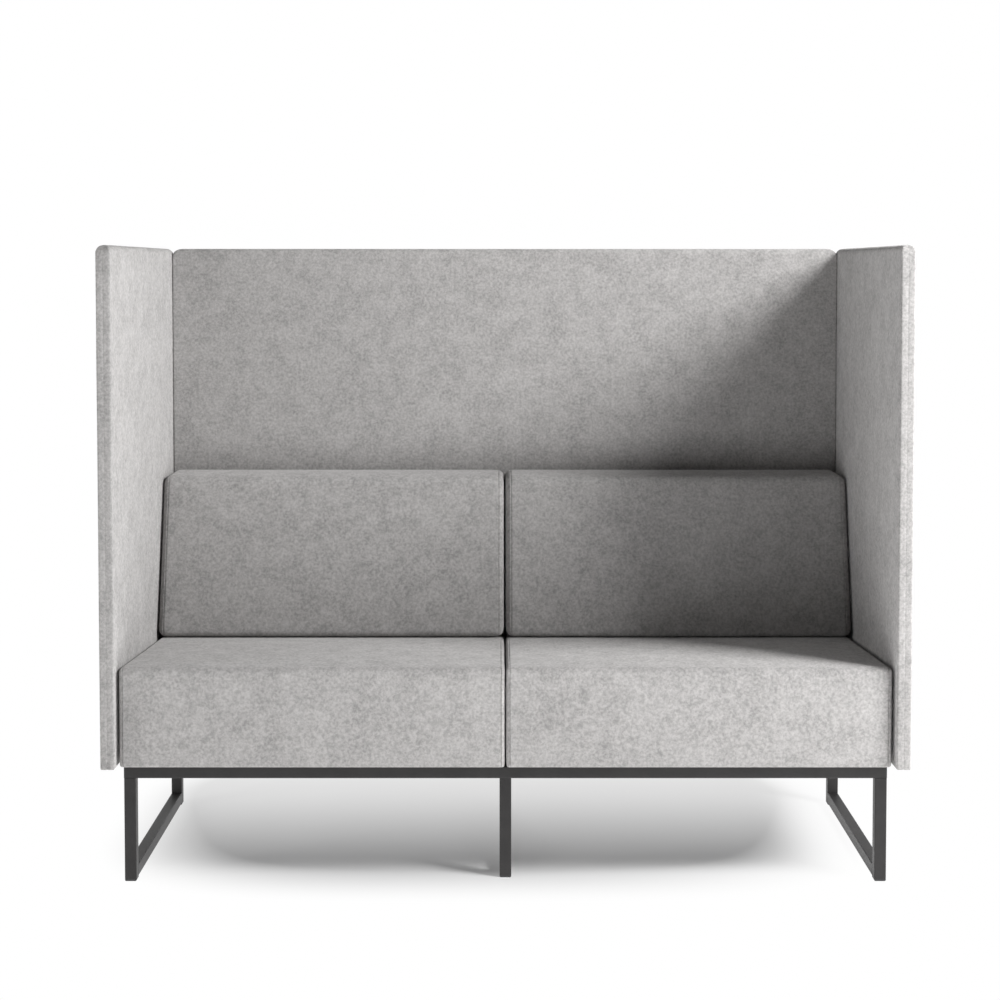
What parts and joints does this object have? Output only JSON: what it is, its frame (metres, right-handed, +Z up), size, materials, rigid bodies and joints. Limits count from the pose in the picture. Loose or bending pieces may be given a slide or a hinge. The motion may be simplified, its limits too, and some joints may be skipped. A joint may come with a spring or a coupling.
{
  "type": "two-seater high-back sofa",
  "caption": "High-back sofa for two with box seat cushions, wedge back cushions, tall padded side and back panels and a square-tube sled frame.",
  "frame": {"origin": "on the floor, under the middle of the sofa", "axes": "the sofa faces -Y, +X runs along its width to the right as seen from the front, +Z is up"},
  "size_m": [1.7, 0.78, 1.345],
  "materials": {
    "wool_felt": "matte",
    "wadding": "matte",
    "foam": "matte",
    "black_cloth": "matte",
    "plywood": "matte",
    "powder_coat": "satin",
    "black_steel": "satin",
    "nylon": "matte"
  },
  "bodies": {
    "root": {"front_rail": "powder_coat", "rear_rail": "powder_coat", "left_top_bar": "powder_coat", "centre_top_bar": "powder_coat", "right_top_bar": "powder_coat", "left_front_leg": "powder_coat", "left_rear_leg": "powder_coat", "left_runner": "powder_coat", "centre_front_leg": "powder_coat", "centre_rear_leg": "powder_coat", "centre_runner": "powder_coat", "right_front_leg": "powder_coat", "right_rear_leg": "powder_coat", "right_runner": "powder_coat", "floor_glides": "nylon", "rail_end_caps": "nylon", "seat_bolts": "black_steel", "seat_washers": "black_steel", "seat_inserts": "black_steel", "left_seat_frame": "plywood", "right_seat_frame": "plywood", "left_seat_webbing": "black_cloth", "right_seat_webbing": "black_cloth", "left_seat_foam": "foam", "right_seat_foam": "foam", "left_seat_cover": "wool_felt", "right_seat_cover": "wool_felt", "left_dust_cover": "black_cloth", "right_dust_cover": "black_cloth", "link_bolts": "black_steel", "link_nuts": "black_steel", "left_back_board": "plywood", "right_back_board": "plywood", "left_back_foam": "foam", "right_back_foam": "foam", "left_back_cover": "wool_felt", "right_back_cover": "wool_felt", "cushion_cleats": "black_steel", "wall_cleats": "black_steel", "cleat_screws": "black_steel", "left_panel_board": "plywood", "left_panel_padding": "wadding", "left_panel_cover": "wool_felt", "right_panel_board": "plywood", "right_panel_padding": "wadding", "right_panel_cover": "wool_felt", "back_panel_board": "plywood", "back_panel_padding": "wadding", "back_panel_cover": "wool_felt", "panel_bolts": "black_steel", "panel_inserts": "black_steel", "corner_hooks": "black_steel", "corner_receivers": "black_steel", "corner_screws": "black_steel"}
  },
  "joints": []
}
